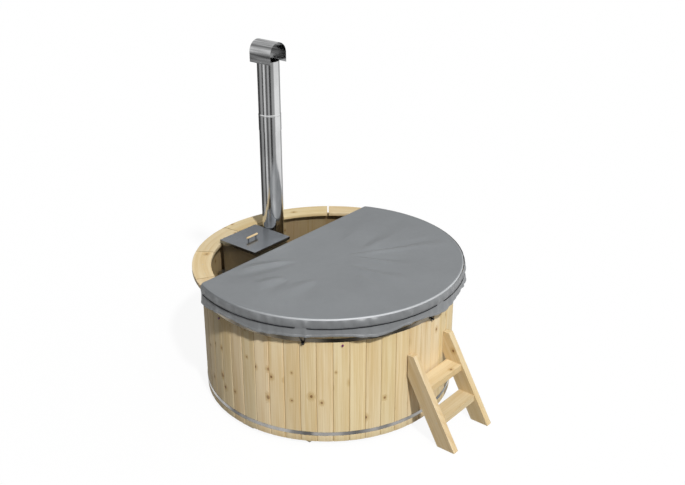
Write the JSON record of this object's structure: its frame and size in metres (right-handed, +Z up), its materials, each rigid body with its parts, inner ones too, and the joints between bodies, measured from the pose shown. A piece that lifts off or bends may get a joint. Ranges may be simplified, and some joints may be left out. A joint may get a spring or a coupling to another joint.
{
  "type": "wooden hot tub",
  "caption": "Round stave hot tub with steel hoops, a flat rim, an inside wood stove with a flue, a half cover held by elastic cord, and lean-on steps.",
  "frame": {"origin": "on the tub's axis at the ground, which is the underside of the middle bearer", "axes": "+Z up, +Y towards the stove and flue, -Y towards the steps, +X towards the drain, along the cover's straight edge"},
  "size_m": [1.8785, 2.0964, 2.2568],
  "materials": {
    "wall_spruce": "planed spruce, unfinished",
    "floor_spruce": "planed spruce, unfinished",
    "bearer_wood": "dark impregnated wood",
    "rim_spruce": "planed spruce, unfinished",
    "bench_spruce": "planed spruce, unfinished",
    "guard_spruce": "planed spruce, unfinished",
    "hoop_steel": "satin stainless steel",
    "screw_steel": "satin",
    "stove_metal": "dull, smoke darkened",
    "grate_iron": "rough",
    "flue_steel": "polished stainless steel",
    "black_metal": "satin",
    "knob_plastic": "satin",
    "drain_steel": "satin",
    "lever_paint": "satin",
    "cover_cloth": "coated cloth with a soft sheen",
    "eyelet_metal": "satin",
    "elastic_black": "matt braided elastic",
    "lid_metal": "satin blue grey",
    "grip_wood": "lacquered",
    "step_spruce": "planed spruce, unfinished"
  },
  "bodies": {
    "tub": {"staves": "wall_spruce", "drain_stave": "wall_spruce", "upper_hoop": "hoop_steel", "lower_hoop": "hoop_steel", "hoop_lugs": "hoop_steel", "hoop_bolts": "hoop_steel", "rim_boards": "rim_spruce", "rim_screws": "screw_steel", "bearers": "bearer_wood", "floor_boards": "floor_spruce", "bench_boards": "bench_spruce", "bench_rails": "bench_spruce", "bench_legs": "bench_spruce", "guard_posts": "guard_spruce", "guard_rails": "guard_spruce", "guard_slats": "guard_spruce", "stove_body": "stove_metal", "stove_neck": "stove_metal", "stove_feet": "stove_metal", "stove_brackets": "hoop_steel", "fire_grate": "grate_iron", "grate_legs": "grate_iron", "flue_collar": "stove_metal", "lower_flue_pipe": "flue_steel", "upper_flue_pipe": "flue_steel", "flue_cowl": "flue_steel", "cowl_rivets": "screw_steel", "cover_hooks": "black_metal", "hook_screws": "screw_steel", "wall_knobs": "knob_plastic", "drain_flange": "drain_steel", "drain_strainer": "drain_steel", "drain_nut": "drain_steel", "drain_valve_body": "drain_steel", "drain_spigot": "drain_steel"},
    "cover": {"cover_pad": "cover_cloth", "cover_skirt": "cover_cloth", "cover_eyelets": "eyelet_metal", "elastic_cord": "elastic_black"},
    "hatch": {"hatch_lid": "lid_metal", "grip_posts": "lid_metal", "hatch_grip": "grip_wood"},
    "steps": {"stringer_left": "step_spruce", "stringer_right": "step_spruce", "treads": "step_spruce", "tread_screws": "screw_steel"},
    "drain_valve": {"drain_ball": "drain_steel", "drain_lever": "lever_paint"}
  },
  "joints": [
    {"name": "cover_lift", "type": "slide", "parent": "tub", "child": "cover", "axis": [0, 0, 1], "range_m": [0, 0.5], "deforming": ["elastic_cord"]},
    {"name": "hatch_lift", "type": "slide", "parent": "tub", "child": "hatch", "axis": [0, 0, 1], "range_m": [0, 0.3]},
    {"name": "steps_pull", "type": "slide", "parent": "tub", "child": "steps", "axis": [0, -1, 0], "range_m": [0, 0.5]},
    {"name": "drain_turn", "type": "hinge", "parent": "tub", "child": "drain_valve", "pos_m": [0.88789, -0.04438, 0.14], "axis": [0, 0, 1], "range_deg": [0, 90]}
  ]
}
